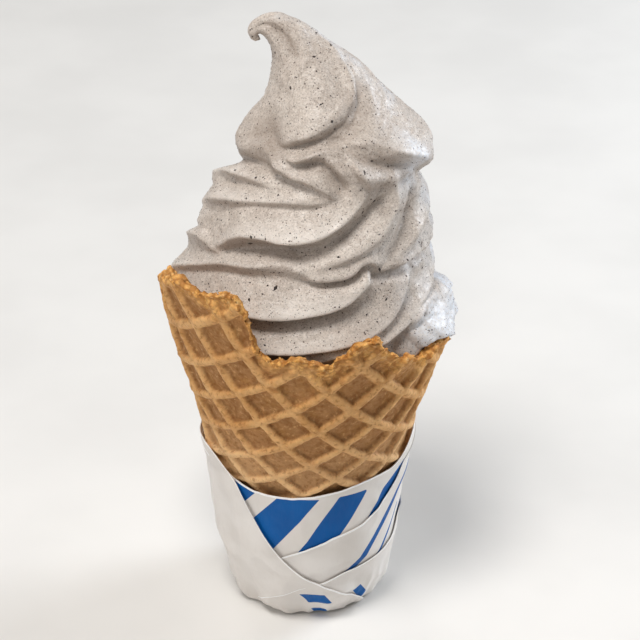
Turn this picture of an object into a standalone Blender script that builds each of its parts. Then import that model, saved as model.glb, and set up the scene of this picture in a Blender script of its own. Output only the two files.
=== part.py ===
"""A soft-serve swirl in a rolled waffle cone, standing in a wrapped paper sleeve.

Frame: metres, +Z up, the origin at the centre of the sleeve's flat bottom.
Azimuth is measured from the front (-Y) towards +X. Heights and radii below are millimetres.
"""

import math

import bmesh
import bpy
import numpy as np

MM = 0.001

# Waffle cone: the outer radius is that of the ridge tops
CONE_SLOPE = 0.286  # radius gained for each millimetre of height
CONE_APEX_Z = -48.3  # height at which the cone would close
CONE_LEAN = 0.0385  # sideways shift of the axis for each millimetre of height
CONE_UPRIGHT_Z = 68.5  # height at which the leaning axis crosses the sleeve's axis
NOSE_Z = 9.0  # lowest point of the wafer, inside the sleeve
NOSE_ROUND = 6.0  # height of the rounded nose
NOSE_RADIUS = 6.5  # radius at the top of the rounded nose
NOSE_SLOPE = 0.62  # the lower part tapers faster than the upper part
KINK_BLEND = 2.0
WALL = 2.7
RIM_BEVEL = 0.5
SEAM_AZIMUTH = 165.0  # where the rolled wafer's outer end lies
SEAM_RISE = 1.5  # thickness that the outer end adds
SEAM_RAMP = 55.0  # azimuth over which the added thickness fades in

# Waffle grid: a flat square grid, pressed before the wafer is rolled
CELL = 11.62
GRID_ANGLE = math.radians(-49.8)
GRID_ORIGIN = (-4.32, 134.0)  # of cell corner 0,0 in the unrolled wafer, from the apex
GRID_MID = 140.0  # slant length at which a cell has its nominal size
GRID_STRETCH = -0.00393
GRID_TWIST = -0.000998
RIDGE_TOP = 0.115  # half of the ridge's width at its top, as a share of the cell
RIDGE_FOOT = 0.170  # and at its foot
POCKET_DEPTH = 1.35
POCKET_LOW_Z = 45.0  # cells below this height would lie inside the sleeve

# Soft serve
ICE_GAP = 0.5
ICE_FOOT_Z = 13.2
FLUTE_PITCH = 9.2  # height between neighbouring ridges
FLUTES_PER_TURN = 5
FLUTE_FIRST_Z = 95.6  # height of one ridge at the front
FLUTE_HEIGHT = 3.2
DEPTH_SHARE = 0.97
CREASE_DEPTH = 3.4
CREASE_WIDTH = 2.6
SPILL = 5.2  # bulge that rests over the low side of the rim
# Sections of the swirl above the rim: centre x, centre z, half width, tilt
SECTIONS = [
    (0.4, 90.0, 35.3, -2.5),
    (0.2, 96.3, 35.6, -2.6),
    (-0.2, 105.4, 34.9, -2.1),
    (1.4, 114.3, 32.7, -1.3),
    (2.2, 123.8, 30.8, -0.8),
    (3.3, 131.2, 28.8, -1.2),
    (5.9, 136.4, 26.4, -1.0),
    (7.2, 141.4, 25.8, -0.3),
    (7.0, 146.4, 25.2, -0.3),
    (6.5, 151.2, 22.0, -0.8),
    (5.5, 156.2, 17.6, 0.8),
    (3.9, 161.2, 14.1, 2.9),
    (1.6, 166.4, 10.9, 6.0),
    (-1.1, 170.4, 8.2, 10.0),
    (-4.2, 173.6, 6.0, 17.4),
    (-7.2, 175.8, 4.5, 32.0),
    (-9.9, 177.0, 3.5, 58.0),
    (-12.1, 176.8, 2.5, 81.0),
    (-13.6, 175.7, 1.9, 114.0),
    (-13.9, 174.2, 1.5, 150.0),
    (-13.3, 172.8, 1.0, 172.0),
]

# Paper sleeve
SLEEVE_PROFILE = [(0.0, 17.6), (0.7, 18.8), (3.0, 20.6), (10.0, 23.4), (19.0, 25.7), (34.0, 27.7), (50.0, 29.3), (57.0, 31.2)]
SLEEVE_LEAN = -0.014
PAPER = 0.8
FLAP_STEP = 0.45  # thickness of the outer flap that wraps over the front
FLOOR = 1.2

CONE_COLUMNS = 44
SLEEVE_COLUMNS = 40
ROWS_PER_FLUTE = 6  # a row rises by one step where a ridge climbs by one column
ICE_COLUMNS = FLUTES_PER_TURN * ROWS_PER_FLUTE


def sigmoid(x):
    return 1.0 / (1.0 + np.exp(-np.clip(x, -40, 40)))


def bell(x):
    return np.exp(-x * x)


def wrap(a):
    return (a + 180.0) % 360.0 - 180.0


def smooth_through(xs, ys, q):
    """A smooth curve through the stations, with slopes taken from each station's neighbours."""
    xs, ys = np.asarray(xs, float), np.asarray(ys, float)
    slope = np.gradient(ys, xs)
    k = np.clip(np.searchsorted(xs, q, side="right") - 1, 0, len(xs) - 2)
    h = xs[k + 1] - xs[k]
    t = (q - xs[k]) / h
    return (
        (2 * t**3 - 3 * t**2 + 1) * ys[k]
        + (t**3 - 2 * t**2 + t) * h * slope[k]
        + (3 * t**2 - 2 * t**3) * ys[k + 1]
        + (t**3 - t**2) * h * slope[k + 1]
    )


# ---------------------------------------------------------------- the wafer


def cone_x(z):
    return CONE_LEAN * (z - CONE_UPRIGHT_Z)


def cone_radius(z):
    """Radius of the ridge tops."""
    upper = CONE_SLOPE * (z - CONE_APEX_Z)
    h = np.maximum(z - NOSE_Z, 0.0)
    lower = np.where(
        h < NOSE_ROUND,
        NOSE_RADIUS * np.sqrt(h / NOSE_ROUND),
        NOSE_RADIUS + NOSE_SLOPE * (h - NOSE_ROUND),
    )
    return 0.5 * (upper + lower - np.sqrt((upper - lower) ** 2 + KINK_BLEND**2))


def cone_inner(z):
    slope = (cone_radius(z + 0.2) - cone_radius(z - 0.2)) / 0.4
    return cone_radius(z) - WALL * np.sqrt(1 + np.minimum(slope, 0.75) ** 2)


def rim_height(azimuth):
    """The broken rim: a raised corner at the left, a low front with one tooth, and a low right side."""
    a = wrap(azimuth)
    return (
        91.5
        + 6.0 * np.cos(np.radians(a + 95))
        + 23.0 * sigmoid((a + 74) / 9) * sigmoid((-22.5 - a) / 1.2)
        + 8.0 * sigmoid((a + 25) / 4) * sigmoid((73 - a) / 4)
        + 8.4 * bell((a - 21) / 8.5)
        - 3.5 * bell((a - 49) / 4)
    )


def seam_offset(azimuth):
    """Added radius where the outer end of the wafer lies over its start, with a step at the seam."""
    back = (SEAM_AZIMUTH - azimuth) % 360.0
    return SEAM_RISE * np.clip((SEAM_RAMP - back) / 20.0, 0, 1)


def cone_point(azimuth, z, offset=0.0):
    r = cone_radius(z) + seam_offset(azimuth) + offset
    a = np.radians(azimuth)
    return (cone_x(z) + r * np.sin(a), -r * np.cos(a), z)


def grid_point(i, j):
    """Azimuth and height on the rolled cone of a place on the flat waffle grid."""
    c, s = math.cos(GRID_ANGLE), math.sin(GRID_ANGLE)
    x = GRID_ORIGIN[0] + CELL * (i * c + j * s)
    y = GRID_ORIGIN[1] + CELL * (i * s - j * c)
    half_angle = math.atan(CONE_SLOPE)
    flat = math.hypot(x, y)
    turn = math.degrees(math.atan2(x, y)) / math.sin(half_angle)
    k = GRID_STRETCH
    slant = GRID_MID + (-1 + math.sqrt(max(1 + 4 * k * (flat - GRID_MID), 0.09))) / (2 * k)
    azimuth = turn - math.degrees(GRID_TWIST * (slant - GRID_MID))
    return azimuth, CONE_APEX_Z + slant * math.cos(half_angle)


def ring_mesh(name, rings, columns, collection, material):
    """A closed skin over a stack of rings, with a pole at each end."""
    bm = bmesh.new()
    first = bm.verts.new([v * MM for v in rings[0][0]])
    last = bm.verts.new([v * MM for v in rings[-1][0]])
    rows = [
        [bm.verts.new([v * MM for v in p]) for p in ring] for ring in rings[1:-1]
    ]
    for k in range(columns):
        n = (k + 1) % columns
        bm.faces.new((first, rows[0][n], rows[0][k]))
        bm.faces.new((last, rows[-1][k], rows[-1][n]))
        for low, high in zip(rows, rows[1:]):
            bm.faces.new((low[k], low[n], high[n]))
            bm.faces.new((low[k], high[n], high[k]))
    bmesh.ops.recalc_face_normals(bm, faces=bm.faces[:])
    return object_from(bm, name, collection, material)


def object_from(bm, name, collection, material):
    mesh = bpy.data.meshes.new(name)
    bm.to_mesh(mesh)
    bm.free()
    obj = bpy.data.objects.new(name, mesh)
    collection.objects.link(obj)
    if material:
        mesh.materials.append(material)
    mesh.shade_smooth()
    mesh.set_sharp_from_angle(angle=math.radians(40))
    return obj


def cup_rings(columns, grow_out=0.0, grow_in=0.0, lift=0.0):
    """The wafer as a cup: up the outside, over the rim and down the inside."""
    heights = [NOSE_Z + h for h in (0.35, 1.3, 3.2, 6.0, 28.0, 37.0, 42.0, 50.0)]
    rings = [[(cone_x(NOSE_Z), 0.0, NOSE_Z - grow_out)]]
    for z in heights:
        rings.append([cone_point(a, z, grow_out) for a in columns])
    rims = [rim_height(a) + lift for a in columns]
    rings.append([cone_point(a, z - RIM_BEVEL, grow_out) for a, z in zip(columns, rims)])
    rings.append([cone_point(a, z, grow_out - RIM_BEVEL) for a, z in zip(columns, rims)])

    def inner_point(a, z, inset=0.0):
        r = cone_inner(z) - grow_in + inset
        t = math.radians(a)
        return (cone_x(z) + r * math.sin(t), -r * math.cos(t), z)

    rings.append([inner_point(a, z, RIM_BEVEL) for a, z in zip(columns, rims)])
    rings.append([inner_point(a, z - RIM_BEVEL) for a, z in zip(columns, rims)])
    for z in heights[:3:-1]:
        rings.append([inner_point(a, z) for a in columns])
    for z in (NOSE_Z + 6.0, NOSE_Z + 3.5):
        rings.append([inner_point(a, z) for a in columns])
    rings.append([(cone_x(NOSE_Z), 0.0, NOSE_Z + 2.9 + grow_in)])
    return rings


def cone_columns():
    step = 360.0 / CONE_COLUMNS
    columns = [k * step - 180.0 for k in range(CONE_COLUMNS)]
    near = min(range(CONE_COLUMNS), key=lambda k: abs(wrap(columns[k] - SEAM_AZIMUTH)))
    columns[near] = SEAM_AZIMUTH - 0.05
    columns.insert(near + 1, SEAM_AZIMUTH + 1.2)
    return columns


def pockets(collection):
    """The cells of the waffle grid, as one cutter of separate blunt pyramids."""
    bm = bmesh.new()
    out = 1.4
    spread = (RIDGE_FOOT - RIDGE_TOP) / POCKET_DEPTH
    for i in range(-14, 18):
        for j in range(-18, 18):
            corners = []
            for half, offset in (
                (0.5 - RIDGE_FOOT, -POCKET_DEPTH),
                (0.5 - RIDGE_TOP + spread * out, out),
            ):
                for du, dv in ((-1, -1), (1, -1), (1, 1), (-1, 1)):
                    corners.append(
                        grid_point(i + 0.5 + du * half, j + 0.5 + dv * half) + (offset,)
                    )
            low = min(z for _, z, _ in corners)
            turns = [a for a, _, _ in corners]
            if low < POCKET_LOW_Z:
                continue
            if all(z > rim_height(a) + 1.0 for a, z, _ in corners):
                continue
            if min(turns) < SEAM_AZIMUTH - 358.0 or max(turns) > SEAM_AZIMUTH - 1.0:
                continue
            verts = [
                bm.verts.new([v * MM for v in cone_point(a, z, h)]) for a, z, h in corners
            ]
            bm.faces.new(verts[3::-1])
            bm.faces.new(verts[4:])
            for k in range(4):
                n = (k + 1) % 4
                bm.faces.new((verts[k], verts[n], verts[n + 4], verts[k + 4]))
    bmesh.ops.triangulate(bm, faces=bm.faces[:])
    bmesh.ops.recalc_face_normals(bm, faces=bm.faces[:])
    return cutter(object_from(bm, "waffle_cells", collection, None))


def cutter(obj):
    obj.hide_render = True
    obj.display_type = "WIRE"
    return obj


def cut(obj, tool, name):
    modifier = obj.modifiers.new(name, "BOOLEAN")
    modifier.operation = "DIFFERENCE"
    modifier.solver = "EXACT"
    modifier.object = tool
    return modifier


# ---------------------------------------------------------------- the soft serve


def crease_height(azimuth):
    """Where the top coil rests on the one below."""
    a = np.radians(azimuth)
    return 137.0 + 12.0 * np.maximum(np.cos(a), 0.0) ** 1.2 - 2.0 * np.sin(a)


def flute(azimuth, height):
    """Relief of the piped ridges: sharp crests and round valleys that climb round the swirl."""
    climb = FLUTE_PITCH * FLUTES_PER_TURN / 360.0
    wave = (height - climb * azimuth - FLUTE_FIRST_Z) / FLUTE_PITCH
    away = np.abs(wave - np.round(wave))
    body = sigmoid((height - 93.0) / 1.5) * sigmoid((crease_height(azimuth) - 2.0 - height) / 0.9)
    return FLUTE_HEIGHT * ((1 - 2 * away) ** 1.4 - 0.45) * body


def swirl_ring(section, height, azimuths):
    cx, cz, half, tilt = section
    tilt = math.radians(tilt)
    points = []
    for azimuth in azimuths:
        a = math.radians(azimuth)
        z = cz + half * math.sin(a) * math.sin(tilt)
        r = half + flute(wrap(azimuth), height)
        r -= CREASE_DEPTH * bell((z - crease_height(wrap(azimuth))) / CREASE_WIDTH)
        r += SPILL * bell(wrap(azimuth - 100) / 30) * bell((z - 92.5) / 6.0)
        if z < rim_height(azimuth) + 0.6:
            r = min(r, cone_inner(z) - ICE_GAP)
        points.append(
            (
                cx + r * math.sin(a) * math.cos(tilt),
                -DEPTH_SHARE * r * math.cos(a),
                cz + r * math.sin(a) * math.sin(tilt),
            )
        )
    return points


def ice_rings():
    azimuths = [k * 360.0 / ICE_COLUMNS for k in range(ICE_COLUMNS)]
    table = np.array(SECTIONS)
    rings = [[(cone_x(ICE_FOOT_Z), 0.0, ICE_FOOT_Z)]]
    for z in (14.4, 18.0, 26.0, 36.0, 44.0, 52.0, 68.0, 84.0):
        r = cone_inner(z) - ICE_GAP
        rings.append(
            [
                (cone_x(z) + r * math.sin(math.radians(a)), -r * math.cos(math.radians(a)), z)
                for a in azimuths
            ]
        )
    step = FLUTE_PITCH / ROWS_PER_FLUTE
    upright = table[:12]
    for height in np.arange(FLUTE_FIRST_Z - 4 * step, 152.0, step):
        section = [float(smooth_through(upright[:, 1], upright[:, c], height)) for c in range(4)]
        rings.append(swirl_ring(section, height, azimuths))
    for section in SECTIONS[10:]:
        rings.append(swirl_ring(section, section[1], azimuths))
    cx, cz, _, tilt = SECTIONS[-1]
    t = math.radians(tilt + 90)
    rings.append([(cx + 0.6 * math.cos(t), 0.0, cz + 0.6 * math.sin(t))])
    return rings


# ---------------------------------------------------------------- the sleeve


def sleeve_radius(z):
    heights, radii = zip(*SLEEVE_PROFILE)
    return np.interp(z, heights, radii)


def sleeve_top(azimuth):
    """The wrapped edge is lowest at the front and highest at the two sides."""
    a = wrap(azimuth)
    return 48.0 + 8.5 * bell((a + 92) / 34) + 6.0 * bell((a - 84) / 30) + 2.0 * bell((np.abs(a) - 180) / 40)


def flap_share(azimuth, z):
    """1 where the outer flap covers the sleeve: left of a slanting edge that falls towards the right."""
    edge = -78.0 + (50.0 - z) * 1.75
    return sigmoid((edge - wrap(azimuth)) / 1.5) * sigmoid((wrap(azimuth) + 170.0) / 2.0)


def sleeve_point(azimuth, z, inset=0.0):
    r = sleeve_radius(z) - inset
    if inset == 0.0 and z > 0.5:
        r += FLAP_STEP * (flap_share(azimuth, z) - 0.4)
    a = math.radians(azimuth)
    return (SLEEVE_LEAN * z + r * math.sin(a), -r * math.cos(a), z)


def sleeve_rings(columns):
    azimuths = [k * 360.0 / columns for k in range(columns)]
    rings = [[(0.0, 0.0, 0.0)]]
    for z in (0.0, 0.7, 3.0, 10.0, 19.0, 28.0, 37.0):
        rings.append([sleeve_point(a, z) for a in azimuths])
    rings.append([sleeve_point(a, 37.0 + 0.5 * (sleeve_top(a) - 37.0)) for a in azimuths])
    rings.append([sleeve_point(a, sleeve_top(a)) for a in azimuths])
    rings.append([sleeve_point(a, sleeve_top(a), PAPER) for a in azimuths])
    for z in (37.0, 19.0, 10.0, 3.0, FLOOR):
        rings.append([sleeve_point(a, z, PAPER) for a in azimuths])
    rings.append([(0.0, 0.0, FLOOR)])
    return rings


def material(name, colour, roughness):
    made = bpy.data.materials.new(name)
    made.use_nodes = True
    shader = made.node_tree.nodes["Principled BSDF"]
    shader.inputs["Base Color"].default_value = (*colour, 1.0)
    shader.inputs["Roughness"].default_value = roughness
    shader.inputs["Metallic"].default_value = 0.0
    return made


def main():
    for obj in list(bpy.data.objects):
        bpy.data.objects.remove(obj, do_unlink=True)
    scene = bpy.context.scene
    parts = bpy.data.collections.new("waffle_cone_soft_serve")
    cutters = bpy.data.collections.new("cutters")
    scene.collection.children.link(parts)
    scene.collection.children.link(cutters)

    wafer = material("wafer", (0.47, 0.25, 0.09), 0.6)
    cream = material("soft_serve", (0.66, 0.60, 0.54), 0.45)
    paper = material("paper", (0.82, 0.81, 0.79), 0.7)

    columns = cone_columns()
    cone = ring_mesh("waffle_cone", cup_rings(columns), len(columns), parts, wafer)
    cut(cone, pockets(cutters), "waffle_cells")

    swirl = ring_mesh("ice_cream", ice_rings(), ICE_COLUMNS, parts, cream)
    clearance = ring_mesh(
        "rim_clearance", cup_rings(columns, 0.35, 0.3, 0.35), len(columns), cutters, None
    )
    cut(swirl, cutter(clearance), "rim_clearance")

    ring_mesh("paper_sleeve", sleeve_rings(SLEEVE_COLUMNS), SLEEVE_COLUMNS, parts, paper)


main()
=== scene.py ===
"""Looks of a soft-serve swirl in a rolled waffle cone that stands in a wrapped paper sleeve.

Pieces are in the frame's metres; heights, radii and widths below are millimetres.
Azimuth is measured from the front (-Y) towards +X.
"""

import math

import bpy
import numpy as np
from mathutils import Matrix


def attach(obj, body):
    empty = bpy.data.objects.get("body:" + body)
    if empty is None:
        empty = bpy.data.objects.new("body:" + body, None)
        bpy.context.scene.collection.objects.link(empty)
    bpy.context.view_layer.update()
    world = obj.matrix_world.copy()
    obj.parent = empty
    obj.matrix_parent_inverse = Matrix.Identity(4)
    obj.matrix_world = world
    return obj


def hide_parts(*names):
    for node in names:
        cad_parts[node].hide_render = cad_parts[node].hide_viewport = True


MM = 0.001
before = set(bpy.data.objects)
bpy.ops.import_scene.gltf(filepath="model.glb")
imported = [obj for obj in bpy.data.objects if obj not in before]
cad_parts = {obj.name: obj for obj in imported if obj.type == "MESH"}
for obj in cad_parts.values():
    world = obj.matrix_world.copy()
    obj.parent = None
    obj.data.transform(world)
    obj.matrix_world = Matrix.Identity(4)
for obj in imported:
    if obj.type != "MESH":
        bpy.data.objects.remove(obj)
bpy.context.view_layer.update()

# ---------------------------------------------------------------- dimensions shared with the solids

CONE_SLOPE = 0.286
CONE_APEX_Z = -48.3
CONE_LEAN = 0.0385
CONE_UPRIGHT_Z = 68.5
NOSE_Z = 9.0
NOSE_ROUND = 6.0
NOSE_RADIUS = 6.5
NOSE_SLOPE = 0.62
KINK_BLEND = 2.0
WALL = 2.7
SEAM_AZIMUTH = 165.0
SEAM_RISE = 1.5
SEAM_RAMP = 55.0
CELL = 11.62
GRID_ANGLE = math.radians(-49.8)
GRID_ORIGIN = (-4.32, 134.0)
GRID_MID = 140.0
GRID_STRETCH = -0.00393
GRID_TWIST = -0.000998
RIDGE_TOP = 0.085
RIDGE_FOOT = 0.165
POCKET_DEPTH = 1.5
DEPTH_SHARE = 0.97
SPILL = 5.2
ICE_GAP = 0.5
ICE_FOOT_Z = 13.2
SLEEVE_LEAN = -0.014
SLEEVE_PROFILE = [(0.0, 17.6), (0.7, 18.8), (3.0, 20.6), (10.0, 23.4), (19.0, 25.6), (34.0, 27.5), (44.0, 28.6), (50.0, 29.1), (57.0, 29.6)]
# Sections of the swirl above the rim: centre x, centre z, half width, tilt
SECTIONS = np.array(
    [
        (0.4, 90.0, 35.3, -2.5),
        (0.2, 96.3, 35.6, -2.6),
        (-0.2, 105.4, 34.9, -2.1),
        (1.4, 114.3, 32.7, -1.3),
        (2.2, 123.8, 30.8, -0.8),
        (3.3, 131.2, 28.8, -1.2),
        (5.9, 136.4, 26.4, -1.0),
        (7.2, 141.4, 25.8, -0.3),
        (7.0, 146.4, 25.2, -0.3),
        (6.5, 151.2, 22.0, -0.8),
        (5.5, 156.2, 17.6, 0.8),
        (3.9, 161.2, 14.1, 2.9),
        (1.6, 166.4, 10.9, 6.0),
        (-1.1, 170.4, 8.2, 10.0),
        (-4.2, 173.6, 6.0, 17.4),
        (-7.2, 175.8, 4.5, 32.0),
        (-9.9, 177.0, 3.5, 58.0),
        (-12.1, 176.7, 2.5, 81.0),
        (-13.6, 175.6, 2.05, 114.0),
        (-14.0, 174.1, 1.8, 150.0),
        (-13.5, 172.8, 1.35, 172.0),
    ]
)


def sigmoid(x):
    return 1.0 / (1.0 + np.exp(-np.clip(x, -40, 40)))


def bell(x):
    return np.exp(-x * x)


def wrap(a):
    return (a + 180.0) % 360.0 - 180.0


def fade(x, low, high):
    t = np.clip((x - low) / (high - low), 0, 1)
    return t * t * (3 - 2 * t)


def smooth_through(xs, ys, q):
    """A smooth curve through the stations, with slopes taken from each station's neighbours."""
    xs, ys = np.asarray(xs, float), np.asarray(ys, float)
    slope = np.gradient(ys, xs)
    k = np.clip(np.searchsorted(xs, q, side="right") - 1, 0, len(xs) - 2)
    h = xs[k + 1] - xs[k]
    t = (q - xs[k]) / h
    return (
        (2 * t**3 - 3 * t**2 + 1) * ys[k]
        + (t**3 - 2 * t**2 + t) * h * slope[k]
        + (3 * t**2 - 2 * t**3) * ys[k + 1]
        + (t**3 - t**2) * h * slope[k + 1]
    )


def noise(points, size, seed):
    """Smooth noise from -1 to 1, with bumps of about that size."""
    table = np.random.default_rng(seed).uniform(-1, 1, (48, 48, 48))
    p = np.asarray(points, float) / size + 7.3 * seed
    cell = np.floor(p).astype(np.int64)
    f = p - cell
    f = f * f * f * (f * (f * 6 - 15) + 10)
    out = np.zeros(p.shape[:-1])
    for dx in (0, 1):
        wx = f[..., 0] if dx else 1 - f[..., 0]
        for dy in (0, 1):
            wy = f[..., 1] if dy else 1 - f[..., 1]
            for dz in (0, 1):
                wz = f[..., 2] if dz else 1 - f[..., 2]
                out += (
                    wx
                    * wy
                    * wz
                    * table[
                        (cell[..., 0] + dx) % 48,
                        (cell[..., 1] + dy) % 48,
                        (cell[..., 2] + dz) % 48,
                    ]
                )
    return out


def layered_noise(points, size, seed, layers=3):
    return sum(0.5**k * noise(points, size * 0.5**k, seed + k) for k in range(layers))


def grid_normals(points, closed):
    """Normals of a grid of points, rows upwards and columns by azimuth."""
    if closed:
        across = np.roll(points, -1, 1) - np.roll(points, 1, 1)
    else:
        across = np.gradient(points, axis=1)
    up = np.gradient(points, axis=0)
    n = np.cross(across, up)
    return n / np.maximum(np.linalg.norm(n, axis=-1, keepdims=True), 1e-9)


def grid_faces(rows, columns, closed, start=0):
    r = np.arange(rows - 1)[:, None]
    c = np.arange(columns if closed else columns - 1)[None, :]
    n = (c + 1) % columns
    a, b = start + r * columns + c, start + r * columns + n
    d, e = a + columns, b + columns
    return np.stack([a, b, e, d], -1).reshape(-1, 4)


def piece(name, points, faces, material, values=None, sharp=None):
    """A mesh piece that rides on the part, from points in millimetres."""
    mesh = bpy.data.meshes.new(name)
    mesh.from_pydata((np.asarray(points) * MM).tolist(), [], [list(f) for f in faces])
    mesh.validate()
    mesh.materials.append(material)
    for key, data in (values or {}).items():
        layer = mesh.attributes.new(key, "FLOAT", "POINT")
        layer.data.foreach_set("value", np.asarray(data, np.float32).ravel())
    mesh.shade_smooth()
    if sharp:
        mesh.set_sharp_from_angle(angle=math.radians(sharp))
    obj = bpy.data.objects.new(name, mesh)
    bpy.context.scene.collection.objects.link(obj)
    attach(obj, "root")
    return obj


# ---------------------------------------------------------------- materials


class Nodes:
    """A short way to build a node tree."""

    def __init__(self, name):
        self.material = bpy.data.materials.new(name)
        self.material.use_nodes = True
        self.tree = self.material.node_tree
        self.shader = self.tree.nodes["Principled BSDF"]
        self.space = self.tree.nodes.new("ShaderNodeTexCoord").outputs["Object"]

    def link(self, a, b):
        self.tree.links.new(a, b)

    def put(self, socket, value):
        if hasattr(value, "is_linked"):
            self.link(value, socket)
        else:
            socket.default_value = value

    def attribute(self, name):
        node = self.tree.nodes.new("ShaderNodeAttribute")
        node.attribute_name = name
        return node.outputs["Fac"]

    def noise(self, size_mm, detail=2.0, rough=0.5, stretch=None, distortion=0.0):
        node = self.tree.nodes.new("ShaderNodeTexNoise")
        node.inputs["Scale"].default_value = 1000.0 / size_mm
        node.inputs["Detail"].default_value = detail
        node.inputs["Roughness"].default_value = rough
        node.inputs["Distortion"].default_value = distortion
        self.link(self.stretched(stretch), node.inputs["Vector"])
        return node.outputs["Fac"]

    def stretched(self, stretch):
        if stretch is None:
            return self.space
        node = self.tree.nodes.new("ShaderNodeMapping")
        node.inputs["Scale"].default_value = stretch
        self.link(self.space, node.inputs["Vector"])
        return node.outputs["Vector"]

    def cells(self, size_mm, feature="F1"):
        node = self.tree.nodes.new("ShaderNodeTexVoronoi")
        node.feature = feature
        node.inputs["Scale"].default_value = 1000.0 / size_mm
        self.link(self.space, node.inputs["Vector"])
        return node.outputs

    def math(self, operation, a, b=0.0, c=0.0, clamp=False):
        node = self.tree.nodes.new("ShaderNodeMath")
        node.operation = operation
        node.use_clamp = clamp
        for socket, value in zip(node.inputs, (a, b, c)):
            self.put(socket, value)
        return node.outputs[0]

    def ramp(self, value, low, high, out_low=0.0, out_high=1.0, smooth=True):
        node = self.tree.nodes.new("ShaderNodeMapRange")
        node.interpolation_type = "SMOOTHSTEP" if smooth else "LINEAR"
        for key, number in (
            ("From Min", low),
            ("From Max", high),
            ("To Min", out_low),
            ("To Max", out_high),
        ):
            node.inputs[key].default_value = number
        self.link(value, node.inputs["Value"])
        return node.outputs["Result"]

    def mix(self, share, a, b, how="MIX"):
        node = self.tree.nodes.new("ShaderNodeMix")
        node.data_type = "RGBA"
        node.blend_type = how
        self.put(node.inputs[0], share)
        for socket, value in ((node.inputs[6], a), (node.inputs[7], b)):
            self.put(socket, value if hasattr(value, "is_linked") else (*value, 1.0))
        return node.outputs[2]

    def bump(self, height, distance_mm, strength, below=None):
        node = self.tree.nodes.new("ShaderNodeBump")
        node.inputs["Strength"].default_value = strength
        node.inputs["Distance"].default_value = distance_mm * MM
        self.link(height, node.inputs["Height"])
        if below is not None:
            self.link(below, node.inputs["Normal"])
        return node.outputs["Normal"]

    def finish(self, colour, roughness, normal=None, **fixed):
        self.put(self.shader.inputs["Base Color"], colour)
        self.put(self.shader.inputs["Roughness"], roughness)
        if normal is not None:
            self.link(normal, self.shader.inputs["Normal"])
        for key, value in fixed.items():
            self.shader.inputs[key.replace("_", " ")].default_value = value
        return self.material


def srgb(r, g, b):
    def one(v):
        v /= 255.0
        return v / 12.92 if v <= 0.04045 else ((v + 0.055) / 1.055) ** 2.4

    return (one(r), one(g), one(b))


def soft_serve_material():
    n = Nodes("soft_serve")
    cloud = n.noise(9.0, 3.0)
    mottle = n.noise(2.6, 3.0, 0.6)
    fine = n.noise(1.1, 4.0, 0.7)
    grit = n.noise(0.45, 2.0, 0.6)
    colour = n.mix(n.ramp(cloud, 0.3, 0.7), srgb(195, 183, 173), srgb(207, 196, 186))
    colour = n.mix(n.ramp(mottle, 0.45, 0.7, 0.0, 0.45), colour, srgb(170, 157, 146))
    colour = n.mix(n.ramp(mottle, 0.45, 0.28, 0.0, 0.5), colour, srgb(226, 217, 208))
    colour = n.mix(n.ramp(fine, 0.45, 0.72, 0.0, 0.45), colour, srgb(158, 145, 134))
    colour = n.mix(n.ramp(grit, 0.50, 0.70, 0.0, 0.45), colour, srgb(132, 120, 110))
    colour = n.mix(n.ramp(grit, 0.47, 0.30, 0.0, 0.45), colour, srgb(234, 226, 218))
    # painted highlight: the ridge crests are lightened where light falls on their tops
    colour = n.mix(n.math("MULTIPLY", n.attribute("crest_highlight"), 0.6), colour, srgb(228, 220, 212))
    # painted shade in folds, grooves and undersides
    colour = n.mix(n.math("MULTIPLY", n.attribute("fold"), 0.56), colour, srgb(142, 126, 113))
    # bluish-white frost on the icy right side and the spill, partly a painted glint of the cool window light
    frost_and_glint = n.math("MULTIPLY", n.attribute("frost_and_glint"), n.ramp(n.noise(0.9, 3.0, 0.7), 0.3, 0.62, 0.35, 1.0))
    colour = n.mix(frost_and_glint, colour, srgb(220, 223, 229))
    # dust of the finest cookie crumbs
    for size, share, low in ((0.62, 0.5, 0.12), (1.0, 0.7, 0.10)):
        cells = n.cells(size)
        chance = n.tree.nodes.new("ShaderNodeSeparateColor")
        n.link(cells["Color"], chance.inputs[0])
        dot = n.ramp(cells["Distance"], low, low + 0.12, 1.0, 0.0)
        dot = n.math("MULTIPLY", dot, n.ramp(chance.outputs[0], 0.55, 0.6))
        colour = n.mix(n.math("MULTIPLY", dot, share * 0.8), colour, srgb(92, 80, 74))
    pits = n.noise(0.55, 2.0, 0.6)
    lumps = n.noise(1.6, 2.0, 0.5)
    normal = n.bump(lumps, 0.4, 0.4)
    normal = n.bump(pits, 0.18, 0.6, normal)
    rough = n.ramp(n.noise(2.2, 2.0), 0.35, 0.65, 0.36, 0.55)
    return n.finish(
        colour,
        rough,
        normal,
        Subsurface_Weight=0.15,
        Subsurface_Radius=(1.0, 0.8, 0.65),
        Subsurface_Scale=0.0016,
        Specular_IOR_Level=0.45,
    )


def dust_material():
    n = Nodes("cookie_dust")
    colour = n.mix(n.ramp(n.noise(1.3, 2.0), 0.35, 0.65), srgb(92, 80, 72), srgb(132, 118, 107))
    normal = n.bump(n.noise(0.2, 2.0), 0.05, 0.5)
    return n.finish(colour, n.ramp(n.noise(0.5), 0.3, 0.7, 0.55, 0.8), normal)


def speck_material(name, dark, light):
    n = Nodes(name)
    colour = n.mix(n.ramp(n.noise(1.1, 2.0), 0.35, 0.65), dark, light)
    normal = n.bump(n.noise(0.2, 2.0), 0.05, 0.5)
    return n.finish(colour, n.ramp(n.noise(0.5), 0.3, 0.7, 0.55, 0.8), normal)


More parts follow.
